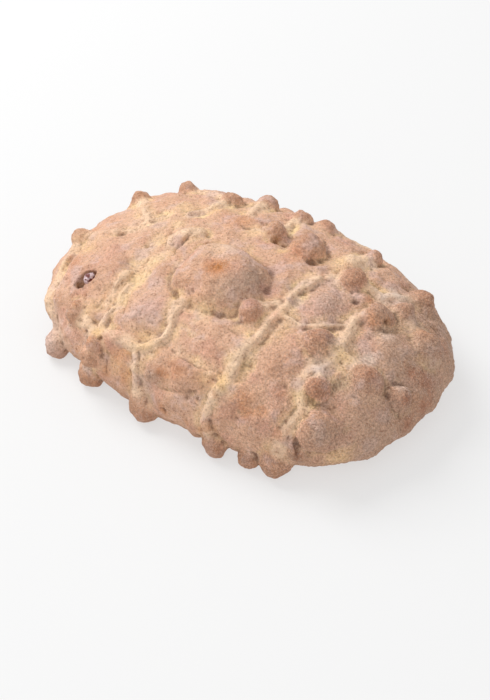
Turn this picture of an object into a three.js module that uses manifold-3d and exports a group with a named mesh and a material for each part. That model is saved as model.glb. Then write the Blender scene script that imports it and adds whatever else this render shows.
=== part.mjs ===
// Pan de muerto: a large oval sweet loaf with dough "bones" baked onto it. Millimetres, +Z up.
// The origin is on the table under the middle of the loaf, +X runs along the loaf.
//
// The bread is one solid: a domed body, the puffed panels of crust between the bones, the bones
// themselves (chains of round knobs joined by thin stretched necks) and the big round head on top.
// Their distance fields are blended into one field, and its surface is meshed on an even grid.
import * as THREE from "three";
import Module from "manifold-3d";

// ---- driving dimensions -------------------------------------------------------------------
const LOAF_LENGTH = 313; // the body alone, without panels or knobs
const LOAF_WIDTH = 219;
const LOAF_HEIGHT = 82;
const WAIST_HEIGHT = 24; // height of the widest section
const UNDERCUT = 0.13; // share of the radius lost between the waist and the table
const PLAN_POWER = 2.6; // 2 is an ellipse, higher is squarer
const FAR_RIGHT_POWER = 2.35; // the far right corner is rounder than the others
const CROWN_POWER = 2.1;
const KNOB_RISE = 7; // how far a knob stands out of the body, and the share of its radius on top of that
const KNOB_RISE_SHARE = 0.6;
const FLOOR_KNOB_REACH = -1.5; // how far out of the waist the centre of a knob on the table is
const FLOOR_KNOB_HEIGHT = 0.94; // height of its centre per radius, so that it has a small flat foot
const NECK_LIFT = 4.5; // height of a neck's middle over the body
const CREST = 1.4; // how far a neck raises the crust, as a share of its radius,
const SKIRT = 1.35; // and how widely
const NECK_SHARE = 0.6; // a neck's radius where it meets a knob, as a share of the knob's
const THIN_NECK = 0.42; // and half way between two knobs
const KNOB_BLEND = 4;
const PANEL_BLEND = 2.5;
const HEAD_BLEND = 1.5;
const PANEL_DEPTH = 3; // a panel's own thickness as a multiple of its rise
const MOUND_POWER = 2.8; // above 2, a mound is fuller towards its edge than an ellipsoid
const SWELL = 4; // how far the body rises like a pillow between the bones,
const SWELL_WIDTH = 10; // and how far from a bone it reaches that height
const UNEVEN = 0.8; // how far the dough was pushed out of its even shape,
const UNEVEN_LENGTH = 5.5; // and the length that sets how close together its hollows are
const CELL = 5.75; // size of a meshing cell

const DEG = Math.PI / 180;
const HALF_LENGTH = LOAF_LENGTH / 2;
const HALF_WIDTH = LOAF_WIDTH / 2;
const CROWN = LOAF_HEIGHT - WAIST_HEIGHT;

// ---- where things lie on the crust ----------------------------------------------------------
// A place is [longitude, latitude] in degrees, seen from the middle of the waist: longitude 0 is
// +X and 90 is +Y, latitude 90 is the top, 0 the waist and below 0 the undercut side.

// Each bone is a chain of [longitude, latitude, radius]. Radii of KNOB_RADIUS or more are knobs,
// smaller ones are places where the stretched dough bends. A knob on the table has a latitude
// below 0, and a fourth number where it reaches further out than the others.
const KNOB_RADIUS = 7;
const BONES = {
  left_end: [[-129, -25, 11, 4], [-133, 6, 4], [-138, 10, 6.6], [-150, 24, 3], [-164, 28, 9]],
  left_band: [[-164, 28, 9], [-163, 40, 3], [-172, 51, 2.8], [165, 54, 2.8]],
  left_side: [
    [-114, -25, 10.5, -1], [-112, 8, 8.5], [-112, 17, 7.4], [-113, 25, 3.8], [-116, 33, 3.4],
    [-119, 43, 3.2], [-127, 55, 3], [-139, 62, 3], [-151, 66, 3], [-168, 66, 3.6], [-173, 70, 6.4],
    [178, 72, 5],
  ],
  left_strand: [[-121, 36, 2.8], [-127, 47, 2.8], [-136, 56, 3], [-149, 61, 2.8], [-166, 62, 2.8]],
  left_ring: [[-124, 24, 8.5], [-114, 22, 4]],
  near_left: [
    [-94, -20, 12.5], [-95, 7, 3.8], [-98, 20, 3.4], [-100, 28, 4], [-96, 33, 4.4], [-93, 40, 4],
    [-94, 46, 3.4], [-96, 52, 3.6], [-98, 57, 4.6],
  ],
  near_left_branch: [[-113, 25, 4], [-106, 29, 4.5], [-100, 28, 4.4]],
  near_middle: [
    [-71, -25, 10], [-72, 1, 3.6], [-73, 10, 3.2], [-73, 19, 3.2], [-71, 26, 3.6], [-68, 32, 4.6],
    [-66, 41, 4.2], [-63, 49, 3.8], [-57, 56, 3.6], [-52, 61, 3.6], [-43, 66, 4.2], [-24, 71, 3.6],
    [-3, 72, 3.2], [23, 70, 4.6],
  ],
  near_right: [
    [-54, -25, 12], [-52, 12, 3.2], [-49, 20, 3], [-45, 28, 3], [-44, 34, 3], [-42, 40, 3.4],
    [-38, 44, 3.8], [-33, 45, 4], [-26, 46, 4.8], [-18, 50, 4.6], [-7, 52, 4.4], [6, 53, 4.6],
    [15, 48, 10.5],
  ],
  right_ridge: [[33, 54, 3.6], [30, 49, 3.6], [35, 42, 4.4], [37, 29, 11]],
  ridge: [[-43, 66, 4], [-31, 61, 3.2], [-20, 58, 3], [-6, 54, 3.2], [6, 53, 4]],
  ridge_knob: [[-29, 53, 12], [-21, 49, 5]],
  near_right_knob: [[-39, 36, 8.8], [-35, 44, 5]],
  front_end: [[-20, 34, 12.5], [-21, 45, 4.5]],
  right_end: [[13, 23, 6], [17, 28, 11], [22, 36, 4.5], [26, 41, 7], [20, 47, 4.5]],
  top_lobe: [[50, 58, 6.6], [56, 50, 6.4], [61, 42, 7.4]],
  top_knob: [[35, 59, 10.5], [33, 66, 4]],
  far_right: [[85, 43, 8.5], [76, 26, 4], [66, 8, 5], [69, -20, 10]],
  far_middle: [[95, 69, 9.5], [94, 47, 9], [91, 34, 6], [90, 10, 6], [93, -20, 10.5]],
  far_left: [[118, 60, 4], [111, 41, 9], [116, 12, 7], [115, -20, 10.5]],
  far_end: [[155, 60, 3], [141, 60, 3.6], [126, 51, 8.2], [140, 34, 9.6], [140, 8, 7], [138, -20, 10.5]],
  left_back: [[176, 52, 3], [159, 28, 9.2], [158, 8, 5], [158, -20, 10.5]],
  below_head: [[-59, 66, 8.2], [-50, 69, 5], [-38, 71, 4]],
};

// Single knobs, which no neck joins to another.
const KNOBS = [[-43, 17, 15.5], [-12, 21, 8], [-61, -25, 8.5], [66, 68, 13.5]];

// Panels of crust that the bones let rise: [longitude, latitude, half length, half width, rise].
const PANELS = [
  [-73, 48, 31, 20, 7], [-48, 46, 14, 26, 7], [-2, 63, 25, 13, 6.5], [2, 37, 20, 17, 7],
  [-106, 48, 20, 19, 7], [-135, 47, 20, 18, 5], [-165, 40, 20, 14, 4.5], [160, 45, 26, 14, 4.5],
  [178, 70, 26, 12, 5], [-150, 78, 22, 10, 5], [35, 77, 26, 15, 5.5], [22, 10, 22, 17, 7],
  [-82, 6, 24, 12, 4.5], [-28, 18, 24, 18, 4.5], [-115, 8, 18, 14, 4], [128, 20, 22, 16, 5.5],
  [104, 20, 16, 16, 5.5], [150, 15, 16, 18, 5], [180, 15, 24, 18, 3], [-155, 12, 18, 18, 2],
  [3, 6, 22, 14, 4.5], [85, 50, 14, 12, 4.5], [120, 76, 24, 12, 4.5], [-40, 80, 16, 12, 4],
  [-80, 30, 21, 13, 8], [-62, 29, 15, 12, 7], [121, 68, 17, 11, 7], [50, 60, 12, 10, 4.5],
  [-134, 25, 14, 14, 4.5], [-108, 24, 9, 8, 6], [-91, 21, 9, 12, 7], [-60, 15, 14, 12, 5.5],
];

// The head: the big round piece of dough in the middle.
const HEAD = { lon: -95, lat: 76, length: 36, width: 32, depth: 26, rise: 18 };

// The tear in the crust through which the filling shows, turned from the east, and the broken nut
// that lies in it, under the lip by its sink.
const TEAR = { lon: -135, lat: 37, length: 10.5, width: 5.8, depth: 7.5, rise: 3.2, turn: 90 };
const NUT = { length: 6, width: 3.2, depth: 3, sink: 3, along: 1.5, bumps: 0.12 };

// ---- the body's surface ------------------------------------------------------------------------
const power = (value, exponent) => Math.abs(value) ** exponent;

/** Share of the plan radius that is left at height z under the waist. */
function undercutAt(z) {
  const down = Math.max(0, (WAIST_HEIGHT - z) / WAIST_HEIGHT);
  return 1 - UNDERCUT * Math.min(down, 1.3) ** 2;
}

const planPower = (x, y) => (x > 0 && y > 0 ? FAR_RIGHT_POWER : PLAN_POWER);

/** The point of the body's surface at a longitude and latitude. */
function bodyPoint(lon, lat) {
  const [c, s] = [Math.cos(lon * DEG), Math.sin(lon * DEG)];
  const corner = planPower(c, s);
  const plan = (power(c, corner) + power(s, corner)) ** (-1 / corner);
  if (lat < 0) {
    const z = WAIST_HEIGHT * (1 + lat / 90);
    const share = plan * undercutAt(z);
    return new THREE.Vector3(HALF_LENGTH * share * c, HALF_WIDTH * share * s, z);
  }
  const [cl, sl] = [Math.cos(lat * DEG), Math.sin(lat * DEG)];
  const rise = (power(cl, CROWN_POWER) + power(sl, CROWN_POWER)) ** (-1 / CROWN_POWER);
  return new THREE.Vector3(
    HALF_LENGTH * plan * c * cl * rise,
    HALF_WIDTH * plan * s * cl * rise,
    WAIST_HEIGHT + CROWN * sl * rise,
  );
}

/** The place there with its outward normal and two directions along the crust. */
function place(lon, lat) {
  const step = 0.5;
  const point = bodyPoint(lon, lat);
  const east = bodyPoint(lon + step, lat).sub(bodyPoint(lon - step, lat)).normalize();
  const north = bodyPoint(lon, lat + step).sub(bodyPoint(lon, lat - step));
  const out = new THREE.Vector3().crossVectors(east, north).normalize();
  return { point, out, east, north: new THREE.Vector3().crossVectors(out, east) };
}

/** Distance to the body, close to the truth near its surface. */
function bodyDistance(p) {
  const [u, v] = [Math.abs(p.x) / HALF_LENGTH, Math.abs(p.y) / HALF_WIDTH];
  const corner = planPower(p.x, p.y);
  const plan = Math.max((u ** corner + v ** corner) ** (1 / corner), 1e-6);
  const slopeX = (u / plan) ** (corner - 1) / HALF_LENGTH;
  const slopeY = (v / plan) ** (corner - 1) / HALF_WIDTH;
  const slope = Math.hypot(slopeX, slopeY);
  if (p.z < WAIST_HEIGHT) return (plan / undercutAt(p.z) - 1) / slope;
  const up = (p.z - WAIST_HEIGHT) / CROWN;
  const whole = Math.max((plan ** CROWN_POWER + up ** CROWN_POWER) ** (1 / CROWN_POWER), 1e-6);
  const alongPlan = (plan / whole) ** (CROWN_POWER - 1) * slope;
  const alongUp = (up / whole) ** (CROWN_POWER - 1) / CROWN;
  return (whole - 1) / Math.hypot(alongPlan, alongUp);
}

// ---- what lies on it -------------------------------------------------------------------------------
/** A round ball of dough at a place: a centre and a radius. Low ones rest on the table. */
function knob([lon, lat, radius, reach = FLOOR_KNOB_REACH]) {
  const { point, out } = place(lon, lat);
  if (lat >= 0) {
    const rise = KNOB_RISE + KNOB_RISE_SHARE * radius;
    return { at: point.addScaledVector(out, rise - radius), radius };
  }
  const away = new THREE.Vector3(out.x, out.y, 0).normalize();
  const at = bodyPoint(lon, 0).addScaledVector(away, reach);
  at.z = FLOOR_KNOB_HEIGHT * radius;
  return { at, radius };
}

const isKnob = (spot) => spot[2] >= KNOB_RADIUS;

/** The middle of a neck at a place. */
function neckPoint(lon, lat) {
  const { point, out } = place(lon, lat);
  return point.addScaledVector(out, NECK_LIFT);
}

/** The line of dough that a bone's knobs sit on, thinner half way between any two of them. */
function neckBalls(chain) {
  const balls = [];
  chain.forEach((spot, i) => {
    const before = chain[i - 1];
    if (before && isKnob(before) && isKnob(spot)) {
      const middle = neckPoint((before[0] + spot[0]) / 2, Math.max(0, (before[1] + spot[1]) / 2));
      balls.push({ at: middle, radius: THIN_NECK * Math.min(before[2], spot[2]) });
    }
    if (!isKnob(spot)) balls.push({ at: neckPoint(spot[0], spot[1]), radius: spot[2] });
    else balls.push({ at: knob(spot).at, radius: NECK_SHARE * spot[2] });
  });
  return balls;
}

/** Distance to the middle line of a neck between two balls, and its radius there. */
function nearestOnNeck(p, a, b) {
  const along = new THREE.Vector3().subVectors(b.at, a.at);
  const from = new THREE.Vector3().subVectors(p, a.at);
  const share = THREE.MathUtils.clamp(from.dot(along) / along.lengthSq(), 0, 1);
  const radius = THREE.MathUtils.lerp(a.radius, b.radius, THREE.MathUtils.smoothstep(share, 0, 1));
  return [from.addScaledVector(along, -share).length(), radius];
}

/** An ellipsoid whose axes lie along the crust and out of it, turned about its outward axis. */
function mound(lon, lat, length, width, depth, rise, turn = 0) {
  const { point, out, east, north } = place(lon, lat);
  const along = east.clone().applyAxisAngle(out, turn * DEG);
  const across = north.clone().applyAxisAngle(out, turn * DEG);
  return {
    at: point.clone().addScaledVector(out, rise - depth),
    axes: [along, across, out],
    radii: [length, width, depth],
  };
}

function moundDistance(p, { at, axes, radii }) {
  const from = new THREE.Vector3().subVectors(p, at);
  const scaled = axes.map((axis, i) => Math.abs(from.dot(axis)) / radii[i]);
  const sum = scaled.reduce((total, s) => total + s ** MOUND_POWER, 0);
  const size = Math.max(sum ** (1 / MOUND_POWER), 1e-6);
  return (size - 1) / Math.hypot(...scaled.map((s, i) => (s / size) ** (MOUND_POWER - 1) / radii[i]));
}

/** The union of two distances, rounded over the given reach. */
function blend(a, b, reach) {
  const near = Math.max(reach - Math.abs(a - b), 0) / reach;
  return Math.min(a, b) - (near * near * reach) / 4;
}

const necks = Object.values(BONES).map(neckBalls);
const knobs = [...Object.values(BONES).flat().filter(isKnob), ...KNOBS].map(knob);
const panels = PANELS.map(([lon, lat, length, width, rise]) =>
  mound(lon, lat, length, width, PANEL_DEPTH * rise, rise),
);
const head = mound(HEAD.lon, HEAD.lat, HEAD.length, HEAD.width, HEAD.depth, HEAD.rise);

/** Where a point would lie if the dough had been shaped evenly. */
function uneven(p) {
  const [x, y, z] = p.clone().divideScalar(UNEVEN_LENGTH).toArray();
  const push = new THREE.Vector3(
    Math.sin(y + 0.6 * z) + Math.sin(0.37 * x + 1.3),
    Math.sin(x - 0.5 * z + 2) + Math.sin(0.41 * y + 0.4),
    Math.sin(0.8 * x + 0.9 * y) * THREE.MathUtils.clamp(z / 4, 0, 1),
  );
  return p.clone().addScaledVector(push, UNEVEN);
}

/** Distance to the whole bread, which goes on a little under the table until its base is cut. */
function breadDistance(place) {
  const p = uneven(place);
  const stretches = necks.flatMap((balls) =>
    balls.slice(1).map((next, i) => nearestOnNeck(p, balls[i], next)),
  );
  const knobDistances = knobs.map(({ at, radius }) => p.distanceTo(at) - radius);
  const toBones = Math.min(...stretches.map(([gap, radius]) => gap - radius), ...knobDistances);
  const away = THREE.MathUtils.clamp(toBones / SWELL_WIDTH, 0, 1);
  let d = bodyDistance(p) - SWELL * Math.sqrt(away * (2 - away));
  for (const panel of panels) d = blend(d, moundDistance(p, panel), PANEL_BLEND);
  d = blend(d, moundDistance(p, head), HEAD_BLEND);
  d -= Math.max(
    ...stretches.map(([gap, radius]) => CREST * radius * Math.exp(-((gap / (SKIRT * radius)) ** 2))),
  );
  for (const distance of knobDistances) d = blend(d, distance, KNOB_BLEND);
  return Math.max(d, -1.5 * CELL - place.z);
}

/** Moves a mound out to the crust, which panels and bones have raised there, and gives that point. */
function liftToCrust(shape, { lon, lat }) {
  const { point, out } = place(lon, lat);
  const start = point.clone();
  for (let d = breadDistance(point); d < -0.05; d = breadDistance(point)) point.addScaledVector(out, -d);
  shape.at.add(point).sub(start);
  return point;
}

// ---- meshing ---------------------------------------------------------------------------------------
const UNIT = [[1, 0, 0], [0, 1, 0], [0, 0, 1]];

/** Fills the grid squares whose inside corners only meet across a diagonal: both sides would touch there. */
function fillPinches(values, count, index) {
  let found = true;
  while (found) {
    found = false;
    for (let k = 0; k < count[2] - 1; k++)
      for (let j = 0; j < count[1] - 1; j++)
        for (let i = 0; i < count[0] - 1; i++)
          for (let n = 0; n < 3; n++) {
            const [s, t] = [UNIT[(n + 1) % 3], UNIT[(n + 2) % 3]];
            const square = [[0, 0], [1, 0], [1, 1], [0, 1]].map(([a, b]) =>
              index(i + a * s[0] + b * t[0], j + a * s[1] + b * t[1], k + a * s[2] + b * t[2]),
            );
            const inside = square.map((corner) => values[corner] < 0);
            if (inside[0] !== inside[2] || inside[1] !== inside[3] || inside[0] === inside[1]) continue;
            const outer = square.filter((corner, m) => !inside[m]);
            const nearer = values[outer[0]] < values[outer[1]] ? outer[0] : outer[1];
            values[nearer] = -0.01;
            found = true;
          }
  }
}

/** The surface where a distance is 0, as one vertex for each grid cell that it crosses. */
function surfaceOf(distance, low, high, cell) {
  const count = [0, 1, 2].map((k) => Math.ceil((high[k] - low[k]) / cell) + 1);
  const index = (i, j, k) => i + count[0] * (j + count[1] * k);
  const values = new Float32Array(count[0] * count[1] * count[2]);
  const p = new THREE.Vector3();
  for (let k = 0; k < count[2]; k++)
    for (let j = 0; j < count[1]; j++)
      for (let i = 0; i < count[0]; i++) {
        p.set(low[0] + i * cell, low[1] + j * cell, low[2] + k * cell);
        values[index(i, j, k)] = distance(p);
      }
  fillPinches(values, count, index);

  const cellVertex = new Map();
  const positions = [];
  const corners = [0, 1, 2, 3, 4, 5, 6, 7].map((c) => [c & 1, (c >> 1) & 1, c >> 2]);
  const edges = corners.flatMap((a, i) =>
    [1, 2, 4].filter((bit) => !(i & bit)).map((bit) => [a, corners[i | bit]]),
  );
  for (let k = 0; k < count[2] - 1; k++)
    for (let j = 0; j < count[1] - 1; j++)
      for (let i = 0; i < count[0] - 1; i++) {
        const sum = [0, 0, 0];
        let crossings = 0;
        for (const [a, b] of edges) {
          const va = values[index(i + a[0], j + a[1], k + a[2])];
          const vb = values[index(i + b[0], j + b[1], k + b[2])];
          if (va < 0 === vb < 0) continue;
          const share = va / (va - vb);
          for (let n = 0; n < 3; n++) sum[n] += a[n] + share * (b[n] - a[n]);
          crossings++;
        }
        if (!crossings) continue;
        cellVertex.set(index(i, j, k), positions.length / 3);
        [i, j, k].forEach((at, n) => positions.push(low[n] + cell * (at + sum[n] / crossings)));
      }

  const triangles = [];
  const vertexAt = (v) => new THREE.Vector3().fromArray(positions, 3 * v);
  const addQuad = (a, b, c, d) => {
    const acrossAC = vertexAt(a).distanceTo(vertexAt(c));
    const acrossBD = vertexAt(b).distanceTo(vertexAt(d));
    if (acrossAC < acrossBD) triangles.push(a, b, c, a, c, d);
    else triangles.push(a, b, d, b, c, d);
  };
  for (let k = 1; k < count[2] - 1; k++)
    for (let j = 1; j < count[1] - 1; j++)
      for (let i = 1; i < count[0] - 1; i++)
        UNIT.forEach((axis, n) => {
          const inside = values[index(i, j, k)] < 0;
          const next = values[index(i + axis[0], j + axis[1], k + axis[2])] < 0;
          if (inside === next) return;
          const [s, t] = [UNIT[(n + 1) % 3], UNIT[(n + 2) % 3]];
          const ring = [[0, 0], [1, 0], [1, 1], [0, 1]].map(([a, b]) =>
            cellVertex.get(index(i - a * s[0] - b * t[0], j - a * s[1] - b * t[1], k - a * s[2] - b * t[2])),
          );
          addQuad(...(inside ? ring : ring.reverse()));
        });
  return { positions: new Float32Array(positions), triangles: new Uint32Array(triangles) };
}

// ---- cutting and naming ------------------------------------------------------------------------------
const wasm = await Module();
wasm.setup();

const solidFrom = (positions, triangles) =>
  new wasm.Manifold(new wasm.Mesh({ numProp: 3, vertProperties: positions, triVerts: triangles }));

/** An ellipsoid as a solid of small triangles. Its surface may be made lumpy by a share of its size. */
function moundSolid({ at, axes, radii }, detail, lumps = 0) {
  const geometry = new THREE.IcosahedronGeometry(1, detail);
  const points = geometry.getAttribute("position");
  const p = new THREE.Vector3();
  for (let i = 0; i < points.count; i++) {
    p.fromBufferAttribute(points, i);
    p.multiplyScalar(1 + lumps * Math.sin(4 * p.x + 1) * Math.cos(5 * p.y) * Math.sin(4 * p.z + 2));
    points.setXYZ(i, p.x, p.y, p.z);
  }
  const stretch = axes.map((axis, i) => axis.clone().multiplyScalar(radii[i]));
  geometry.applyMatrix4(new THREE.Matrix4().makeBasis(...stretch).setPosition(at));
  return solidFrom(...welded(geometry));
}

/** Positions and triangles of a three.js shape, with the corners that meet merged. */
function welded(geometry) {
  const seen = new Map();
  const positions = [];
  const source = geometry.getAttribute("position");
  const triangles = Array.from({ length: source.count }, (_, i) => {
    const point = [source.getX(i), source.getY(i), source.getZ(i)];
    const key = point.map((x) => x.toFixed(3)).join();
    if (!seen.has(key)) {
      seen.set(key, positions.length / 3);
      positions.push(...point);
    }
    return seen.get(key);
  });
  return [new Float32Array(positions), new Uint32Array(triangles)];
}

function geometryOf(solid) {
  const { vertProperties, triVerts } = solid.getMesh();
  const geometry = new THREE.BufferGeometry();
  geometry.setAttribute("position", new THREE.BufferAttribute(vertProperties, 3));
  geometry.setIndex(new THREE.BufferAttribute(triVerts, 1));
  return geometry;
}

const MARGIN = 34;
const reach = [HALF_LENGTH + MARGIN, HALF_WIDTH + MARGIN];
const surface = surfaceOf(
  breadDistance,
  [-reach[0], -reach[1], -2.5 * CELL],
  [reach[0], reach[1], LOAF_HEIGHT + MARGIN],
  CELL,
);

const table = new THREE.BoxGeometry(4 * reach[0], 4 * reach[1], 8 * CELL);
table.translate(0, 0, -4 * CELL);
let bread = solidFrom(surface.positions, surface.triangles);
bread = bread.subtract(solidFrom(...welded(table.toNonIndexed())));

const tear = mound(TEAR.lon, TEAR.lat, TEAR.length, TEAR.width, TEAR.depth, TEAR.rise, TEAR.turn);
const lip = liftToCrust(tear, TEAR);
bread = bread.subtract(moundSolid(tear, 2));

const [alongTear, , outOfTear] = tear.axes;
const nut = {
  at: lip.addScaledVector(outOfTear, -NUT.sink).addScaledVector(alongTear, NUT.along),
  axes: tear.axes,
  radii: [NUT.length, NUT.width, NUT.depth],
};

/** A named piece of the part in its own colour. */
function piece(name, solid, color, roughness) {
  const mesh = new THREE.Mesh(
    geometryOf(solid),
    new THREE.MeshStandardMaterial({ color, roughness, metalness: 0 }),
  );
  mesh.name = name;
  return mesh;
}

const part = new THREE.Group();
part.add(piece("loaf", bread, 0xc6a28a, 0.85));
part.add(piece("nut_piece", moundSolid(nut, 1, NUT.bumps), 0x8a5548, 0.6));

export default part;
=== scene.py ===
import math

import bpy
import numpy as np
from mathutils import Matrix, Vector


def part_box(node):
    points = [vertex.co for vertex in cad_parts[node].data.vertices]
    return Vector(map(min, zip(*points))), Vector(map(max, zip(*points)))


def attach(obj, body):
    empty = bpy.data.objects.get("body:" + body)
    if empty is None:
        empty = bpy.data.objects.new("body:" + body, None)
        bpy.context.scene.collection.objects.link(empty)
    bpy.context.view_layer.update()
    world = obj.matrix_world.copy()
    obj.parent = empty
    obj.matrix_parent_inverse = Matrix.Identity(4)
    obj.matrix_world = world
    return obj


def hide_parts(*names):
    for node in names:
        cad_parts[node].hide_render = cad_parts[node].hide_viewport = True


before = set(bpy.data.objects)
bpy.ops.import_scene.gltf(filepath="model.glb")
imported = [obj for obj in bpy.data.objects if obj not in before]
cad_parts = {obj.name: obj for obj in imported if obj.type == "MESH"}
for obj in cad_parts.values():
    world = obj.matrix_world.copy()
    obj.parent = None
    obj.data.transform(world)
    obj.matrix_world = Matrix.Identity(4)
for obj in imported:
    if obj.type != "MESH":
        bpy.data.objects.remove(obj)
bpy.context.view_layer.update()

MM = 0.001
DEG = math.pi / 180

# ---- driving dimensions ----------------------------------------------------------------------------
# The solid in the frame has nearly the same ones.
LOAF_LENGTH = 313  # the body alone, without panels or knobs
LOAF_WIDTH = 219
LOAF_HEIGHT = 82
WAIST_HEIGHT = 24  # height of the widest section
UNDERCUT = 0.13  # share of the radius lost between the waist and the table
UNDERCUT_END = 1.3  # where the undercut ends below the table, in heights of the waist
PLAN_POWER = 2.6  # 2 is an ellipse, higher is squarer
FAR_RIGHT_POWER = 2.35  # the far right corner is rounder than the others
CROWN_POWER = 2.1
KNOB_RADIUS = 7  # a spot of a bone with this radius or more is a knob
KNOB_RISE = 7  # how far a knob stands out of the body, and the share of its radius on top of that
KNOB_RISE_SHARE = 0.6
FLOOR_KNOB_REACH = -1.5  # how far out of the waist the centre of a knob on the table is
FLOOR_KNOB_HEIGHT = 0.94  # height of its centre per radius, so that it has a small flat foot
NECK_LIFT = 4.5  # height of a neck's middle over the body
NECK_SHARE = 0.6  # a neck's radius where it meets a knob, as a share of the knob's,
THIN_NECK = 0.42  # and half way between two knobs
CREST = 1.4  # how far a neck raises the crust, as a share of its radius,
SKIRT = 1.35  # how widely,
CREST_POWER = 1.4  # and how roundly: 2 is a bell, 1 a tent
CREST_REACH = 3 * SKIRT * KNOB_RADIUS  # by here every crest has died out
PANEL_DEPTH = 3  # a panel's own thickness as a multiple of its rise
MOUND_POWER = 2.8  # above 2, a mound is fuller towards its edge than an ellipsoid
SWELL = 4  # how far the body rises like a pillow between the bones,
SWELL_WIDTH = 10  # and how far from a bone it reaches that height
UNEVEN = 0.8  # how far the dough was pushed out of its even shape,
UNEVEN_LENGTH = 5.5  # and the length that sets how close together its hollows are

HALF_LENGTH = LOAF_LENGTH / 2
HALF_WIDTH = LOAF_WIDTH / 2
CROWN = LOAF_HEIGHT - WAIST_HEIGHT

# The crust is meshed in cells of this size, and its shapes melt together over these reaches.
CELL = 1.4
MARGIN = 24  # how far the grid goes past the body
KNOB_BLEND = 5.5
PANEL_BLEND = 2.5
HEAD_BLEND = 1.5
DEEPEST = 4  # no crease goes deeper than this below the body
FLAT = 0.01  # what is lower than this lies on the table
FREE_ABOVE = 3  # from this height, relief moves the crust freely
REACH = 12  # distances to a shape are known this far out
TINY = 1e-6

# Loose sugar and open bubbles.
GRAINS = 45000
GRAIN_SIZE = (0.12, 0.24)
GRAIN_LIFT = 0.3  # height of a grain's middle over the crust, as a share of its size
SUGAR_ABOVE = 2  # no sugar lies lower than this on the crust
SUGAR_SEED = 23
PORES = 160
PORE_RADIUS = (0.8, 1.7)
PORE_DEPTH = (0.5, 1.2)
PORE_SEED = 11

# The camera stands as it did for the photo, whose frame these pixels are in.
FRAME_WIDTH = 490
FRAME_HEIGHT = 700
FOCAL_PIXELS = 1600
LOOK_AT = Vector((0, 0, 0.034))
LOOK_AT_PIXEL = (247.45, 313)
CAMERA_TURN = 38
CAMERA_RISE = 40
CAMERA_DISTANCE = 1.208
SENSOR_HEIGHT = 36

# Lights are (place, size, power), in metres and watts.
KEY_LIGHT = ((-1.5, 0.1, 1.6), 1.4, 37)
FILL_LIGHT = ((0.6, -1.6, 1.4), 1.6, 7)
WORLD_STRENGTH = 0.63
FLOOR_SIZE = 12
FLOOR_TONES = ((150, 150, 150), (152, 152, 152))
FLOOR_GLOW = 1.85  # a lit sweep, on which shadows are faint

# Bones are chains of (longitude, latitude, radius). A knob on the table has a latitude below 0, and may
# have its own reach as a fourth number.
BONES = {
    "left_end": [(-129, -25, 11, 4), (-133, 6, 4), (-138, 10, 6.6), (-150, 24, 3), (-164, 28, 9)],
    "left_band": [(-164, 28, 9), (-163, 40, 3), (-172, 51, 2.8), (165, 54, 2.8)],
    "left_side": [
        (-114, -25, 10.5, -1), (-112, 8, 8.5), (-112, 17, 7.4), (-113, 25, 3.6), (-116, 33, 3),
        (-119, 43, 2.6), (-127, 55, 2.4), (-139, 62, 2.4), (-151, 66, 2.4), (-168, 66, 3),
        (-173, 70, 6.4), (178, 72, 5),
    ],
    "left_strand": [
        (-120, 36, 2.2), (-125, 47, 2.2), (-134, 56, 2.4), (-147, 61, 2.2), (-165, 62, 2.2),
    ],
    "left_ring": [(-124, 24, 8.5), (-114, 22, 4)],
    "near_left": [
        (-94, -20, 12.5), (-95, 7, 3.8), (-98, 20, 3.4), (-100, 28, 4), (-96, 33, 4.4), (-93, 40, 4),
        (-94, 46, 3.4), (-96, 52, 3.6), (-98, 57, 4.6),
    ],
    "near_left_branch": [(-113, 25, 4), (-106, 29, 4.5), (-100, 28, 4.4)],
    "near_middle": [
        (-71, -25, 10), (-72, 1, 3.6), (-73, 10, 3.2), (-73, 19, 3.2), (-71, 26, 3.6), (-68, 32, 4.6),
        (-66, 41, 4.2), (-63, 49, 3.8), (-57, 56, 3.6), (-52, 61, 3.6), (-43, 66, 4.2), (-24, 71, 3.6),
        (-3, 72, 3.2), (23, 70, 4.6),
    ],
    "near_right": [
        (-54, -25, 12), (-52, 12, 3.6), (-49, 20, 3.6), (-45, 28, 3.6), (-44, 34, 3.6), (-42, 40, 3.8),
        (-38, 44, 3.8), (-33, 45, 4), (-26, 46, 4.8), (-18, 50, 4.6), (-7, 52, 4.4), (6, 53, 4.6),
        (15, 48, 10.5),
    ],
    "right_ridge": [(33, 54, 4), (30, 49, 4.4), (35, 42, 5), (40, 31, 11)],
    "ridge": [(-43, 66, 4), (-31, 61, 3.2), (-20, 58, 3), (-6, 54, 3.2), (6, 53, 4)],
    "ridge_knob": [(-29, 53, 12), (-21, 49, 5)],
    "near_right_knob": [(-38, 36.5, 8.2), (-34, 44, 5)],
    "front_end": [(-20, 34, 12.5), (-21, 45, 4.5)],
    "right_end": [(13, 23, 6), (17, 28, 12), (22, 36, 4.5), (26, 41, 7), (20, 47, 4.5)],
    "top_lobe": [(50, 58, 6.6), (56, 50, 6.4), (61, 42, 7.4)],
    "top_knob": [(35, 59, 10.5), (33, 66, 4)],
    "far_right": [(85, 43, 8.5), (76, 26, 4), (66, 8, 5), (69, -20, 10)],
    "far_middle": [(95, 69, 9.5), (94, 47, 9), (91, 34, 6), (90, 10, 6), (93, -20, 10.5)],
    "far_left": [(118, 60, 4), (111, 41, 9), (116, 12, 7), (115, -20, 10.5)],
    "far_end": [
        (155, 60, 3), (141, 60, 3.6), (126, 51, 8.2), (140, 34, 8.6), (140, 8, 7), (138, -20, 10.5),
    ],
    "left_back": [(176, 52, 3), (159, 28, 8.6), (158, 8, 5), (158, -20, 10.5)],
    "below_head": [(-59, 66, 8.2), (-50, 69, 5), (-38, 71, 4)],
}
KNOBS = [(-41.5, 17, 15.5), (-11, 20, 9), (-61, -25, 8.5), (66, 68, 13.5)]
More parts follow.
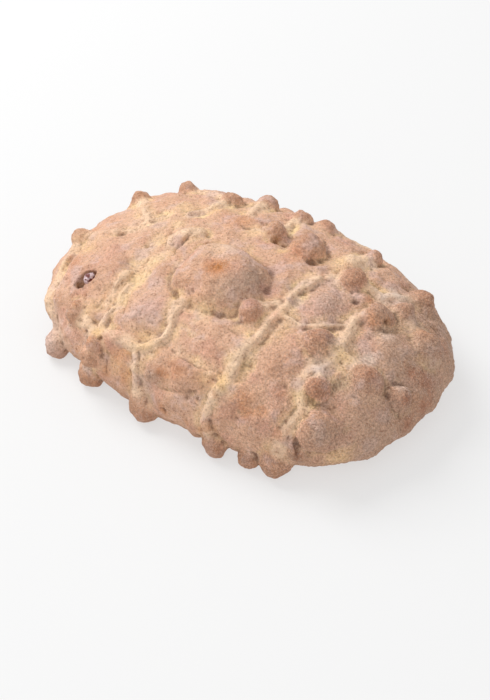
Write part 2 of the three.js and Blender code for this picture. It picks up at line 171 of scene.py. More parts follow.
# Panels are (longitude, latitude, half length, half width, rise).
PANELS = [
    (-73, 48, 31, 20, 7), (-48, 46, 14, 26, 7), (-2, 63, 25, 13, 6.5), (2, 37, 20, 17, 7),
    (-106, 48, 20, 19, 7), (-135, 47, 20, 18, 5), (-165, 40, 20, 14, 4.5), (160, 45, 26, 14, 4.5),
    (178, 70, 26, 12, 5), (-150, 78, 22, 10, 5), (35, 77, 26, 15, 5.5), (22, 10, 22, 17, 6),
    (-82, 6, 24, 12, 4.5), (-28, 18, 24, 18, 4.5), (-115, 8, 18, 14, 4), (128, 20, 22, 16, 5.5),
    (104, 20, 16, 16, 5.5), (150, 15, 16, 18, 5), (180, 15, 24, 18, 3), (-155, 12, 18, 18, 2),
    (3, 6, 22, 14, 4.5), (85, 50, 14, 12, 4.5), (120, 76, 24, 12, 4.5), (-40, 80, 16, 12, 4),
    (-80, 30, 21, 13, 8), (-62, 29, 15, 12, 7), (121, 68, 17, 11, 7), (50, 60, 12, 10, 4.5),
    (-134, 25, 14, 14, 4.5), (-108, 24, 9, 8, 6), (-91, 21, 9, 12, 7), (-60, 15, 14, 12, 5.5),
]
HEAD = {"lon": -95, "lat": 76, "length": 36, "width": 32, "depth": 26, "rise": 18}
TEAR = {"lon": -135, "lat": 37, "length": 10.5, "width": 5.8, "depth": 7.5, "rise": 3.2, "turn": 90}

# Marks on the crust, placed by longitude and latitude. Cracks and folds are (width, depth, path).
CRACKS = [
    (1.3, 2.2, [(-119, 49), (-115, 43), (-111, 38)]),
    (1.2, 1.6, [(-158, 58), (-152, 61)]),
    (1.7, 3.0, [(175, 72), (-166, 72), (-152, 69), (-141, 69)]),
    (1.1, 1.3, [(170, 62), (-175, 64), (-160, 65)]),
    (1.1, 1.1, [(174, 59), (-177, 61), (-163, 63)]),
    (1.1, 1.2, [(166, 64), (-179, 67), (-163, 68)]),
    (1.5, 1.5, [(-92, 37), (-85, 36), (-78, 35), (-69, 36)]),
    (1.9, 1.5, [(-88, 14), (-83, 17), (-78, 21), (-74, 27)]),
    (2.0, 3.0, [(-49, 13), (-48, 5), (-48, -4)]),
    (2.0, 2.6, [(-110, 21), (-107, 11), (-106, 0)]),
    (2.2, 3.0, [(-86, 3), (-85, -6)]),
    (1.4, 2.2, [(31, 34), (30, 28), (28, 20)]),
    (1.7, 2.4, [(77, 54), (69, 58), (61, 61)]),
    (1.2, 1.4, [(-104, 40), (-108, 46)]),
    (1.3, 0.8, [(-136, 22), (-145, 18), (-150, 25)]),
    (1.3, 0.8, [(-134, 28), (-141, 27), (-145, 31)]),
    (1.2, 0.8, [(-133, 32), (-138, 31), (-142, 34)]),
    (1.2, 0.7, [(-88, 46), (-79, 47), (-74, 44)]),
    (1.2, 0.7, [(-86, 42), (-76, 43), (-70, 40)]),
    (1.4, 0.9, [(-73, 56), (-64, 55)]),
]
# Pits and dents are (longitude, latitude, radius, depth). A depth below 0 is a bump.
PITS = [
    (-117, 20, 1.8, 2.0), (-117, 27, 1.4, 1.6), (-111, 23, 2.0, 2.8), (-169, 47, 1.6, 1.6),
    (-96, 62, 1.3, 1.4), (-49, 37, 1.6, 1.6), (-24, 51, 2.6, 2.2), (17, 57, 2.6, 3.4),
    (-1, 46, 1.8, 1.8), (11, 45, 2.6, 2.8), (86, 74, 2.4, 3.0), (80, 72, 1.8, 2.0), (49, 70, 2.8, 2.6),
    (-79, 17, 1.7, 2.0), (-76, 19, 1.3, 1.4), (-91, 18, 1.8, 1.8), (-89, 22, 1.2, 1.4),
    (-94, 16, 1.4, 1.2), (-64, 17, 1.4, 1.5), (-68, 19, 1.8, 1.4), (-60, 44, 6.5, 2.0),
    (-30, 37, 6, 1.8), (-134, 55, 1.3, 1.2), (-160, 60, 1.2, 1.2), (-131, 34, 1.7, 1.6),
    (-139, 39, 1.5, 1.4), (-133, 41, 1.4, 1.2), (-137, 33, 1.6, -0.9),
]
# Patches are (longitude, latitude, radius, colour, strength).
# Those of the darkest colour are painted shade, in pits, in a crack and in the tear's hollow.
PATCHES = [
    (-94, 75, 9, "orange", 1.0), (-94, 75, 5, "gold", 0.5), (-149, 83, 14, "pale", 0.6),
    (-67, 72, 15, "grey", 0.75), (-45, 78, 12, "grey", 0.8), (-98, 63, 9, "orange", 0.3),
    (-85, 59, 8, "web", 0.6), (178, 53, 15, "pale", 0.6), (-145, 48, 10, "rose", 0.4),
    (-162, 42, 8, "tan", 0.6), (-154, 37, 8, "yellow", 0.45), (-138, 62, 8, "web", 0.6),
    (-128, 55, 7, "web", 0.6), (-119, 44, 7, "web", 0.5), (172, 63, 7, "web", 0.5),
    (-113, 24, 5, "yellow", 0.9), (-103, 13, 9, "orange", 0.35), (-103, 12, 7, "web", 0.3),
    (-99, 8, 6, "orange", 0.45), (-98, 33, 10, "yellow", 0.6), (-106, 48, 11, "lilac", 0.5),
    (-118, 59, 7, "lilac", 0.5), (-107, 23, 7, "rose", 0.8), (-107, 29, 6, "tan", 0.8),
    (-98, 19, 4, "pale", 0.7), (-96, 7, 4, "pale", 0.6), (-89, 24, 4, "orange", 0.6),
    (-91, 19, 7, "grey", 0.7), (-91, 4, 5, "green", 0.5), (-83, 30, 12, "brown", 0.5),
    (-84, 29, 9, "orange", 0.35), (-74, 32, 8, "orange", 0.3), (-74, 32, 6, "web", 0.35),
    (-80, 21, 8, "tan", 0.7), (-69, 33, 7, "yellow", 0.9), (-65, 44, 5, "pale", 0.5),
    (-45, 60, 7, "yellow", 0.5), (-38, 66, 5, "yellow", 0.4), (-43, 66, 6, "rose", 0.4),
    # The second patch below is partly painted light: it lightens the shaded side of a neck's pale
    # ridge.
    (-59, 67, 8, "rose", 0.5), (-61, 48, 6, "pale", 0.8), (-62, 28, 8, "orange", 0.45),
    (-66, 18, 9, "brown", 0.5), (-68, 26, 6, "green", 0.3), (-53, 30, 7, "rose", 0.3),
    (-54, 16, 7, "rose", 0.45), (-72, 19, 4, "pale", 0.6), (-56, -5, 5, "rust", 0.4),
    (125, 70, 10, "orange", 0.5), (128, 61, 6, "yellow", 0.6), (111, 73, 8, "web", 0.5),
    (86, 74, 4, "gold", 0.8), (70, 77, 4, "yellow", 0.8), (56, 74, 8, "orange", 0.35),
    (73, 64, 8, "rust", 0.45), (51, 62, 8, "web", 0.5), (-35, 76, 6, "rose", 0.4),
    (-3, 63, 15, "lilac", 0.5), (32, 59, 9, "brown", 0.6), (21, 57, 5, "lilac", 0.7),
    (16, 57, 3, "painted_shade", 0.7), (24, 53, 5, "orange", 0.6), (6, 50, 6, "orange", 0.5),
    (11, 45, 4, "gold", 0.8), (35, 44, 7, "white", 0.6), (30, 49, 6, "white", 0.6),
    (40, 31, 11, "brown", 0.9), (15, 49, 8, "grey", 0.5), (6, 43, 6, "white", 0.5),
    (-28, 54, 7, "rust", 0.35), (-23, 52, 4, "painted_shade", 0.5), (-22, 46, 10, "web", 0.6),
    (-22, 46, 7, "yellow", 0.5), (-35, 45, 7, "white", 0.6), (-39, 36, 7, "rust", 0.45),
    (-30, 37, 7, "green", 0.6), (-45, 34, 5, "web", 0.6), (-13, 41, 7, "white", 0.6),
    (-19, 35, 8, "rust", 0.4), (1, 26, 5, "rust", 0.6), (4, 18, 8, "rust", 0.55),
    (22, 23, 9, "rust", 0.4), (20, 32, 7, "orange", 0.4), (-8, 24, 6, "white", 0.35),
    (-11, 19, 5, "rust", 0.7), (-1, 6, 7, "rust", 0.7), (-11, 4, 7, "rust", 0.6),
    (-37, -3, 9, "yellow", 0.6), (-41.5, 17, 13, "grey", 0.6), (-48, 0, 6, "painted_shade", 0.5),
    (-48, 46, 15, "brown", 0.4), (-3, 62, 13, "grey", 0.4), (2, 36, 14, "grey", 0.35),
    # The first two patches below are painted light, on the shaded knob on the table at the left end.
    (-129, -12, 14, "lilac", 0.9), (-127, -8, 11, "pale", 0.5), (-135, 47, 14, "brown", 0.3),
    (-165, 40, 12, "tan", 0.5), (-70, -5, 10, "brown", 0.4), (-136, 36, 5, "painted_shade", 0.7),
    (-86, 37, 4, "pale", 0.6), (-78, 35.5, 4, "pale", 0.6), (-73, 35, 4, "pale", 0.5),
    (-148, 25, 7, "yellow", 0.4), (-146, 32, 6, "orange", 0.35), (-122, 32, 6, "yellow", 0.35),
    (152, 54, 8, "web", 0.5), (138, 62, 7, "yellow", 0.4),
]


# ---- the body's surface ----------------------------------------------------------------------------
def undercut_at(z):
    """The share of the waist's radius that is left at a height."""
    down = np.clip((WAIST_HEIGHT - z) / WAIST_HEIGHT, 0, UNDERCUT_END)
    return 1 - UNDERCUT * down**2


def plan_power(x, y):
    """How square the outline is there: less so in the far right corner."""
    return np.where((x > 0) & (y > 0), FAR_RIGHT_POWER, PLAN_POWER)


def body_point(lon, lat):
    """The point of the body's surface at a longitude and latitude in degrees."""
    c, s = math.cos(lon * DEG), math.sin(lon * DEG)
    power = float(plan_power(c, s))
    plan = (abs(c) ** power + abs(s) ** power) ** (-1 / power)
    if lat < 0:
        z = WAIST_HEIGHT * (1 + lat / 90)
        share = plan * float(undercut_at(z))
        return np.array([HALF_LENGTH * share * c, HALF_WIDTH * share * s, z])
    cl, sl = math.cos(lat * DEG), math.sin(lat * DEG)
    rise = (abs(cl) ** CROWN_POWER + abs(sl) ** CROWN_POWER) ** (-1 / CROWN_POWER)
    share = plan * cl * rise
    return np.array([HALF_LENGTH * share * c, HALF_WIDTH * share * s, WAIST_HEIGHT + CROWN * sl * rise])


def unit(v):
    return v / np.linalg.norm(v)


def place(lon, lat):
    """The place there with its outward normal and the east and north directions along the crust."""
    step = 0.5
    east = unit(body_point(lon + step, lat) - body_point(lon - step, lat))
    out = unit(np.cross(east, body_point(lon, lat + step) - body_point(lon, lat - step)))
    return body_point(lon, lat), out, east, np.cross(out, east)


def body_distance(x, y, z):
    """Distance to the body, close to the truth near its surface."""
    u, v = np.abs(x) / HALF_LENGTH, np.abs(y) / HALF_WIDTH
    power = plan_power(x, y)
    plan = np.maximum((u**power + v**power) ** (1 / power), TINY)
    slope = np.hypot((u / plan) ** (power - 1) / HALF_LENGTH, (v / plan) ** (power - 1) / HALF_WIDTH)
    slope = np.maximum(slope, TINY)
    low = (plan / undercut_at(z) - 1) / slope
    up = np.maximum(z - WAIST_HEIGHT, 0) / CROWN
    whole = np.maximum((plan**CROWN_POWER + up**CROWN_POWER) ** (1 / CROWN_POWER), TINY)
    along_plan = (plan / whole) ** (CROWN_POWER - 1) * slope
    along_up = (up / whole) ** (CROWN_POWER - 1) / CROWN
    return np.where(z < WAIST_HEIGHT, low, (whole - 1) / np.hypot(along_plan, along_up))


def uneven(p):
    """Where each point would lie if the dough had been shaped evenly: waves with no common length."""
    x, y, z = np.moveaxis(p, -1, 0) / UNEVEN_LENGTH
    push = np.stack(
        [
            np.sin(y + 0.6 * z) + np.sin(0.37 * x + 1.3),
            np.sin(x - 0.5 * z + 2) + np.sin(0.41 * y + 0.4),
            np.sin(0.8 * x + 0.9 * y) * np.clip(z / 4, 0, 1),
        ],
        axis=-1,
    )
    return p + UNEVEN * push


# ---- what lies on it -------------------------------------------------------------------------------
def blend(a, b, reach):
    """The union of two distances, rounded over the given reach."""
    near = np.maximum(reach - np.abs(a - b), 0) / reach
    return np.minimum(a, b) - near * near * reach / 4


class Body:
    """The dome that everything lies on."""

    def box(self):
        return np.zeros(3), HALF_LENGTH

    def distance(self, p):
        return body_distance(p[..., 0], p[..., 1], p[..., 2])


class Knob:
    """A ball of dough. Low ones rest on the table."""

    def __init__(self, lon, lat, radius, reach=FLOOR_KNOB_REACH):
        point, out, _, _ = place(lon, lat)
        self.radius = radius
        if lat >= 0:
            self.at = point + out * (KNOB_RISE + KNOB_RISE_SHARE * radius - radius)
        else:
            self.at = body_point(lon, 0) + unit(np.array([out[0], out[1], 0])) * reach
            self.at[2] = FLOOR_KNOB_HEIGHT * radius

    def box(self):
        return self.at, self.radius

    def distance(self, p):
        return np.linalg.norm(p - self.at, axis=-1) - self.radius


class Neck:
    """The line of dough that a bone's knobs sit on, thinner half way between any two of them."""

    def __init__(self, chain):
        balls = []
        for i, spot in enumerate(chain):
            before = chain[i - 1] if i else None
            if before and min(before[2], spot[2]) >= KNOB_RADIUS:
                middle = self.spine((before[0] + spot[0]) / 2, max(0, (before[1] + spot[1]) / 2))
                balls.append((middle, THIN_NECK * min(before[2], spot[2])))
            if spot[2] >= KNOB_RADIUS:
                balls.append((Knob(*spot).at, NECK_SHARE * spot[2]))
            else:
                balls.append((self.spine(*spot[:2]), spot[2]))
        self.at = np.array([at for at, _ in balls])
        self.radii = [radius for _, radius in balls]
        self.along = np.diff(self.at, axis=0)
        self.lengths = np.linalg.norm(self.along, axis=1)

    @staticmethod
    def spine(lon, lat):
        point, out, _, _ = place(lon, lat)
        return point + out * NECK_LIFT

    def box(self):
        low, high = self.at.min(axis=0), self.at.max(axis=0)
        return (low + high) / 2, (high - low).max() / 2 + max(self.radii)

    def parts(self, p):
        """For each stretch: each point's distance to its middle line, and its radius there."""
        for i, along in enumerate(self.along):
            share = np.clip((p - self.at[i]) @ along / self.lengths[i] ** 2, 0, 1)
            radius = self.radii[i] + ease(share) * (self.radii[i + 1] - self.radii[i])
            yield np.linalg.norm(p - self.at[i] - share[..., None] * along, axis=-1), radius

    def distance(self, p):
        return np.minimum.reduce([gap - radius for gap, radius in self.parts(p)])

    def crest(self, p):
        """How far the neck raises the crust."""
        heights = [
            CREST * radius * np.exp(-((gap / (SKIRT * radius)) ** CREST_POWER))
            for gap, radius in self.parts(p)
        ]
        return np.maximum.reduce(heights)


class Mound:
    """An ellipsoid whose axes lie along the crust and out of it, turned from the east."""

    def __init__(self, lon, lat, length, width, depth, rise, turn=0):
        point, out, east, north = place(lon, lat)
        c, s = math.cos(turn * DEG), math.sin(turn * DEG)
        self.axes = np.array([east * c + north * s, north * c - east * s, out])
        self.radii = np.array([length, width, depth], float)
        self.at = point + out * (rise - depth)

    def box(self):
        return self.at, self.radii.max()

    def distance(self, p):
        scaled = np.abs((p - self.at) @ self.axes.T) / self.radii
        size = np.maximum(np.sum(scaled**MOUND_POWER, axis=-1) ** (1 / MOUND_POWER), TINY)
        slopes = (scaled / size[..., None]) ** (MOUND_POWER - 1) / self.radii
        return (size - 1) / np.maximum(np.linalg.norm(slopes, axis=-1), TINY)


def ease(t):
    return t * t * (3 - 2 * t)


def smoothstep(x, low, high):
    """Eases from 0 at low to 1 at high. High may be the smaller of the two."""
    return ease(np.clip((x - low) / (high - low), 0, 1))


def bell(distance, width):
    """1 in the middle, and near 0 from about twice the width."""
    return np.exp(-((distance / width) ** 2))


body = Body()
necks = [Neck(chain) for chain in BONES.values()]
knobs = [Knob(*spot) for chain in BONES.values() for spot in chain if spot[2] >= KNOB_RADIUS]
knobs += [Knob(*spot) for spot in KNOBS]
panels = [
    Mound(lon, lat, length, width, PANEL_DEPTH * rise, rise) for lon, lat, length, width, rise in PANELS
]
head = Mound(**HEAD)


# ---- meshing ---------------------------------------------------------------------------------------
class Grid:
    """A grid of distances, into which each shape is blended where it reaches."""

    def __init__(self, low, high, cell, value=0.0):
        self.low = np.array(low, float)
        self.cell = cell
        self.axes = [np.arange(low[k], high[k], cell) for k in range(3)]
        self.points = uneven(np.stack(np.meshgrid(*self.axes, indexing="ij"), axis=-1))
        self.values = np.full(self.points.shape[:3], value)

    def change(self, shape, reach, update, measure=None):
        """Puts update(values, distances to the shape) in place of the values near the shape."""
        centre, extent = shape.box()
        extent = extent + reach + 2 * UNEVEN
        first = np.floor((centre - extent - self.low) / self.cell).astype(int)
        last = np.ceil((centre + extent - self.low) / self.cell).astype(int) + 1
        box = tuple(slice(max(a, 0), max(b, 0)) for a, b in zip(first, last))
        self.values[box] = update(self.values[box], (measure or shape.distance)(self.points[box]))

    def add(self, shapes, reach):
        for shape in shapes:
            self.change(shape, 2 * reach, lambda old, new: blend(old, new, reach))

    def union(self, shapes, most):
        for shape in shapes:
            self.change(shape, most, np.minimum)

    def swell(self, bones):
        """Dough that rises like a pillow between the bones."""
        away = np.clip(bones / SWELL_WIDTH, 0, 1)
        self.values -= SWELL * away * (2 - away)

    def lift(self, lon, lat):
        """The place on the crust over a longitude and latitude of the body."""
        point, out, _, _ = place(lon, lat)
        heights = np.arange(-DEEPEST, MARGIN, self.cell / 4)
        index = np.rint((point + heights[:, None] * out - self.low) / self.cell).astype(int)
        index = np.clip(index, 0, np.array(self.values.shape) - 1)
        return point + out * heights[np.argmax(self.values[tuple(index.T)] > 0)]


def bread_grid():
    """Distances to the whole bread. The table is half way between two layers of the grid's points."""
    low = (-HALF_LENGTH - MARGIN, -HALF_WIDTH - MARGIN, -2.5 * CELL)
    high = (HALF_LENGTH + MARGIN, HALF_WIDTH + MARGIN, LOAF_HEIGHT + MARGIN)
    bones = Grid(low, high, CELL, SWELL_WIDTH)
    bones.union(necks, SWELL_WIDTH)
    bones.union(knobs, SWELL_WIDTH)
    grid = Grid(low, high, CELL)
    grid.values = body.distance(grid.points)
    grid.swell(bones.values)
    grid.add(panels, PANEL_BLEND)
    grid.add([head], HEAD_BLEND)
    crests = Grid(low, high, CELL)
    for neck in necks:
        crests.change(neck, CREST_REACH, np.maximum, neck.crest)
    grid.values -= crests.values
    grid.add(knobs, KNOB_BLEND)
    grid.values = np.maximum(grid.values, -grid.axes[2])
    return grid


def surface_nets(grid):
    """The surface where the distance is 0: a vertex in each cell that it crosses, and faces of four."""
    values = grid.values
    inside = values < 0
    count = np.array(values.shape)
    corners = [np.array(corner) for corner in np.ndindex(2, 2, 2)]
    steps = np.eye(3, dtype=int)
    parts = [inside[tuple(slice(c, n - 1 + c) for c, n in zip(corner, count))] for corner in corners]
    full = np.sum(parts, axis=0)
    cells = np.argwhere((full > 0) & (full < 8))
    total = np.zeros((len(cells), 3))
    crossings = np.zeros((len(cells), 1))
    for corner in corners:
        for step in steps[corner == 0]:
            a = values[tuple((cells + corner).T)]
            b = values[tuple((cells + corner + step).T)]
            crossed = (a < 0) != (b < 0)
            share = np.where(crossed, a / np.where(crossed, a - b, 1), 0)
            total += crossed[:, None] * (corner + share[:, None] * step)
            crossings += crossed[:, None]
    points = grid.low + grid.cell * (cells + total / crossings)
    number = np.full(count - 1, -1)
    number[tuple(cells.T)] = np.arange(len(cells))
    faces = []
    for k in range(3):
        here = tuple(slice(1, n - 2 if m == k else n - 1) for m, n in enumerate(count))
        ahead = tuple(slice(2, n - 1) if m == k else slice(1, n - 1) for m, n in enumerate(count))
        side, other = steps[(k + 1) % 3], steps[(k + 2) % 3]
        for leaving in (True, False):
            at = np.argwhere((inside[here] == leaving) & (inside[ahead] != leaving)) + 1
            ring = [number[tuple((at - back).T)] for back in (0 * side, side, side + other, other)]
            faces.append(np.stack(ring if leaving else ring[::-1], axis=1))
    return points, np.concatenate(faces)


def open_base(points, faces):
    """Takes the flat base off, and returns the rest with the rings of points that close it."""
    flat = (points[faces][:, :, 2] < FLAT).all(axis=1)
    base = faces[flat]
    ahead = {(a, b) for face in base.tolist() for a, b in zip(face, face[1:] + face[:1])}
    follows = {a: b for a, b in ahead if (b, a) not in ahead}
    rings = []
    while follows:
        first, at = follows.popitem()
        ring = [first]
        while at != first:
            ring.append(at)
            at = follows.pop(at)
        rings.append(ring)
    return faces[~flat], rings


def normals_of(points, faces):
    a, b, c, d = (points[faces[:, k]] for k in range(4))
    across = np.cross(c - a, d - b)
    corners = faces.ravel()
    sums = [np.bincount(corners, np.repeat(across[:, k], 4), len(points)) for k in range(3)]
    return np.stack(sums, axis=1) / np.maximum(np.linalg.norm(sums, axis=0), TINY)[:, None]


class Smoother:
    """Averages a quantity over each vertex's neighbours, for a number of rounds."""

    def __init__(self, faces, size):
        self.size = size
        self.here = faces.ravel()
        self.next = np.roll(faces, -1, axis=1).ravel()
        self.before = np.roll(faces, 1, axis=1).ravel()
        self.count = np.maximum(np.bincount(self.here, minlength=size) * 2.0, 1)

    def __call__(self, field, rounds):
        columns = np.array(field, float).reshape(self.size, -1).T
        for _ in range(rounds):
            columns = np.array([self.once(column) for column in columns])
        return columns.T.reshape(np.shape(field))

    def once(self, column):
        return np.bincount(self.here, column[self.next] + column[self.before], self.size) / self.count


def scrambled(cells, seed):
    """A number of 32 bits for each cell of a lattice, with no pattern from one to the next."""
    code = cells @ np.array([73856093, 19349663, 83492791]) + seed * 7919
    for shift, factor in ((15, 2246822519), (13, 3266489917)):
        code = (code ^ (code >> shift)) * factor & 0xFFFFFFFF
    return code


def noise(points, size, seed):
    """Smooth noise from about -1 to 1, with lumps of the given size."""
    q = points / size + 31.7 * seed  # each seed has its own place on the lattice
    cell = np.floor(q).astype(np.int64)
    f = q - cell
    fade = f * f * f * (f * (f * 6 - 15) + 10)
    total = 0
    for corner in np.ndindex(2, 2, 2):
        code = scrambled(cell + corner, seed)
        slope = np.stack([(code >> shift & 1023) / 511.5 - 1 for shift in (0, 10, 20)], axis=-1)
        weight = np.prod(np.where(corner, fade, 1 - fade), axis=-1)
        total = total + weight * np.sum(slope * (f - corner), axis=-1)
    return total * 1.5


def rough(points, *layers):
    """Layers of noise, each one (height, size, seed)."""
    return sum(height * noise(points, size, seed) for height, size, seed in layers)


# ---- the crust's relief ----------------------------------------------------------------------------
class Crust:
    """The bread's mesh, with its distances to the shapes that it is made of."""

    def __init__(self, grid):
        self.grid = grid
        self.points, faces = surface_nets(grid)
        self.faces, self.rings = open_base(self.points, faces)
        self.smooth = Smoother(self.faces, len(self.points))
        self.normals = normals_of(self.points, faces)
        self.start = self.points.copy()
        self.even = uneven(self.points)
        self.body = self.reach(body)
        self.head = self.reach(head)
        self.panels = np.sort([self.reach(panel) for panel in panels], axis=0)[:2]
        self.knobs = np.sort([self.reach(knob) for knob in knobs], axis=0)[:2]
        self.necks = np.minimum.reduce([self.reach(neck) for neck in necks])

    def near(self, shape, most):
        """Which points lie in a shape's box, or no more than this far from it."""
        centre, extent = shape.box()
        return (np.abs(self.even - centre) < extent + most).all(axis=1)

    def reach(self, shape):
        """Distances to a shape, none over REACH."""
        near = self.near(shape, REACH)
        distance = np.full(len(self.start), float(REACH))
        distance[near] = np.minimum(shape.distance(self.even[near]), REACH)
        return distance

    def raise_by(self, heights):
        """Moves each point out of the crust, but none at the table."""
        free = smoothstep(self.points[:, 2], 0, FREE_ABOVE)
        self.points += (heights * free)[:, None] * self.normals
        self.points[:, 2] = np.maximum(self.points[:, 2], 0)

    def refresh(self):
        self.normals = normals_of(self.points, self.faces)


def lumps(crust):
    """Unevenness of all sizes. The smaller ones are a little stronger on the knobs."""
    p = crust.start
    on_knob = smoothstep(crust.knobs[0], 3, 0)
    broad = rough(p, (0.9, 24, 1), (1.1, 11, 2))
    middling = rough(p, (0.8, 5.5, 3), (0.4, 2.8, 4))
    return broad + (1 + 0.3 * on_knob) * middling


def creases(crust):
    """Folds where two swells of dough meet, between knobs that touch, and round the head."""
    bones = np.minimum(crust.necks, crust.knobs[0])
    swells = np.sort([crust.body, crust.head, bones, crust.panels[0], crust.panels[1]], axis=0)
    open_here = 0.4 + 0.6 * smoothstep(noise(crust.start, 17, 5), -0.3, 0.4)
    fold = bell(swells[1] - swells[0], 2.6) * open_here
    between = bell(crust.knobs[1] - crust.knobs[0], 2.2) * (crust.knobs[0] < 3)
    around_head = bell(crust.head - 1, 2.2)
    return -0.7 * fold - 1.2 * between - 1.8 * around_head


def drawn_together(points, direction, ratio):
    """Points moved closer along a direction, so that noise on them runs in streaks along it."""
    return points - (1 - 1 / ratio) * (points @ direction)[:, None] * direction


def strands(crust):
    """Fine ridges along each neck, where the dough was rolled and stretched."""
    reach, stretch = 9, 9
    height = np.zeros(len(crust.start))
    best = np.full(len(crust.start), reach + 1.0)
    for neck in necks:
        near = np.flatnonzero(crust.near(neck, reach))
        p = crust.even[near]
        for i, (gap, _) in enumerate(neck.parts(p)):
            mine = gap < best[near]
            spots = near[mine]
            best[spots] = gap[mine]
            q = drawn_together(p[mine] - neck.at[i], neck.along[i] / neck.lengths[i], stretch)
            height[spots] = rough(q, (1, 2.2, 7), (0.6, 4.4, 8))
    return 0.5 * height * smoothstep(best, reach, 3)


def wrinkles(crust):
    """Shallow creases across each panel, where its skin was stretched, with no common direction."""
    reach, stretch, turn = 3, 6, 2.4
    height = np.zeros(len(crust.start))
    best = np.full(len(crust.start), reach + 1.0)
    for number, panel in enumerate(panels):
        near = np.flatnonzero(crust.near(panel, reach))
        distance = panel.distance(crust.even[near])
        mine = distance < best[near]
        spots = near[mine]
        best[spots] = distance[mine]
        east, north, _ = panel.axes
        direction = math.cos(turn * number) * east + math.sin(turn * number) * north
        q = drawn_together(crust.start[spots] - panel.at, direction, stretch)
        height[spots] = noise(q, 2.6, 9)
    return 0.35 * height * smoothstep(best, reach, 0.5)


def along_path(points, places):
    """For each point: its distance to the path through these places, and its share of the way."""
    total = sum(np.linalg.norm(b - a) for a, b in zip(places, places[1:]))
    best = np.full(len(points), np.inf)
    share = np.zeros(len(points))
    passed = 0
    for a, b in zip(places, places[1:]):
        length = np.linalg.norm(b - a)
        t = np.clip((points - a) @ (b - a) / length**2, 0, 1)
        distance = np.linalg.norm(points - a - t[:, None] * (b - a), axis=1)
        mine = distance < best
        best[mine] = distance[mine]
        share[mine] = (passed + t[mine] * length) / total
        passed += length
    return best, share


def cracks(crust):
    """Cracks and folds that wander a little, and close towards their ends."""
    farthest, wander, least_taper = 40, 0.8, 0.05
    height = np.zeros(len(crust.start))
    for width, depth, path in CRACKS:
        places = [crust.grid.lift(lon, lat) for lon, lat in path]
        away = np.linalg.norm(crust.start - np.mean(places, axis=0), axis=1)
        near = np.flatnonzero(away < farthest)
        p = crust.start[near]
        aside = np.stack([noise(p, 5, seed) for seed in (21, 22, 23)], axis=1)
        distance, share = along_path(p + wander * aside, places)
        taper = np.sqrt(np.clip(4 * share * (1 - share), least_taper, 1))
        height[near] -= depth * taper * bell(distance, width * taper)
    return height


def pits(crust):
    height = np.zeros(len(crust.start))
    for lon, lat, radius, depth in PITS:
        away = np.linalg.norm(crust.start - crust.grid.lift(lon, lat), axis=1)
        height -= depth * bell(away, radius)
    return height


def pores(crust, random):
    """Small open bubbles, strewn over the crust."""
    height = np.zeros(len(crust.start))
    for centre in crust.start[random.choice(len(crust.start), PORES, replace=False)]:
        radius = random.uniform(*PORE_RADIUS)
        near = np.flatnonzero((np.abs(crust.start - centre) < 3 * radius).all(axis=1))
        away = np.linalg.norm(crust.start[near] - centre, axis=1)
        height[near] -= random.uniform(*PORE_DEPTH) * bell(away, radius)
    return height


def grain(crust):
    """The rough, sugary skin."""
    return rough(crust.start, (0.16, 1.9, 12), (0.12, 3.2, 13))


def coarseness(crust):
    """How coarse the skin is, up to 1: most at the right end, on knobs and right of the head's top."""
    p = crust.start
    right = smoothstep(p[:, 0] + 8 * noise(p, 15, 31), 0, 110)
    on_head = smoothstep(crust.head, 1, -1) * smoothstep(p[:, 0], -35, 5)
    on_knob = smoothstep(crust.knobs[0], 2.5, 0)
    on_neck = smoothstep(crust.necks, 4, 0) * (1 - on_knob)
    coarse = np.clip(0.15 + 0.55 * right + 0.5 * on_head + 0.25 * on_knob, 0, 1)
    return coarse * (1 - 0.7 * on_neck)


# ---- colour ----------------------------------------------------------------------------------------
def linear(colour):
    """An sRGB colour of 0 to 255 for each channel, as linear light."""
    c = np.array(colour) / 255
    return np.where(c <= 0.04045, c / 12.92, ((c + 0.055) / 1.055) ** 2.4)


PALETTE = {
    name: linear(colour)
    for name, colour in {
        "tan": (217, 173, 144),
        "brown": (180, 132, 104),
        "grey": (172, 142, 122),
        "pale": (238, 204, 172),
        "web": (242, 208, 158),
        "yellow": (234, 194, 140),
        "orange": (206, 136, 84),
        "rust": (158, 96, 66),
        "rose": (208, 152, 134),
        "lilac": (212, 182, 172),
        "white": (238, 218, 204),
        "green": (166, 150, 122),
        "gold": (150, 98, 40),
        # partly a browner crust near the table, partly painted shade under the bulge
        "low": (172, 126, 98),
        # painted shade, laid in the finest creases and in pits, a crack and the tear's hollow
        "painted_shade": (92, 58, 42),
    }.items()
}
FROST = (238, 216, 198)
# painted shade for open pores, which have no hollow in the material
PORE_SHADE = (140, 92, 68)
SUGAR_TONES = ((222, 196, 180), (244, 228, 218))
NUT_SKIN = (110, 48, 40)
NUT_FLESH = (216, 192, 194)


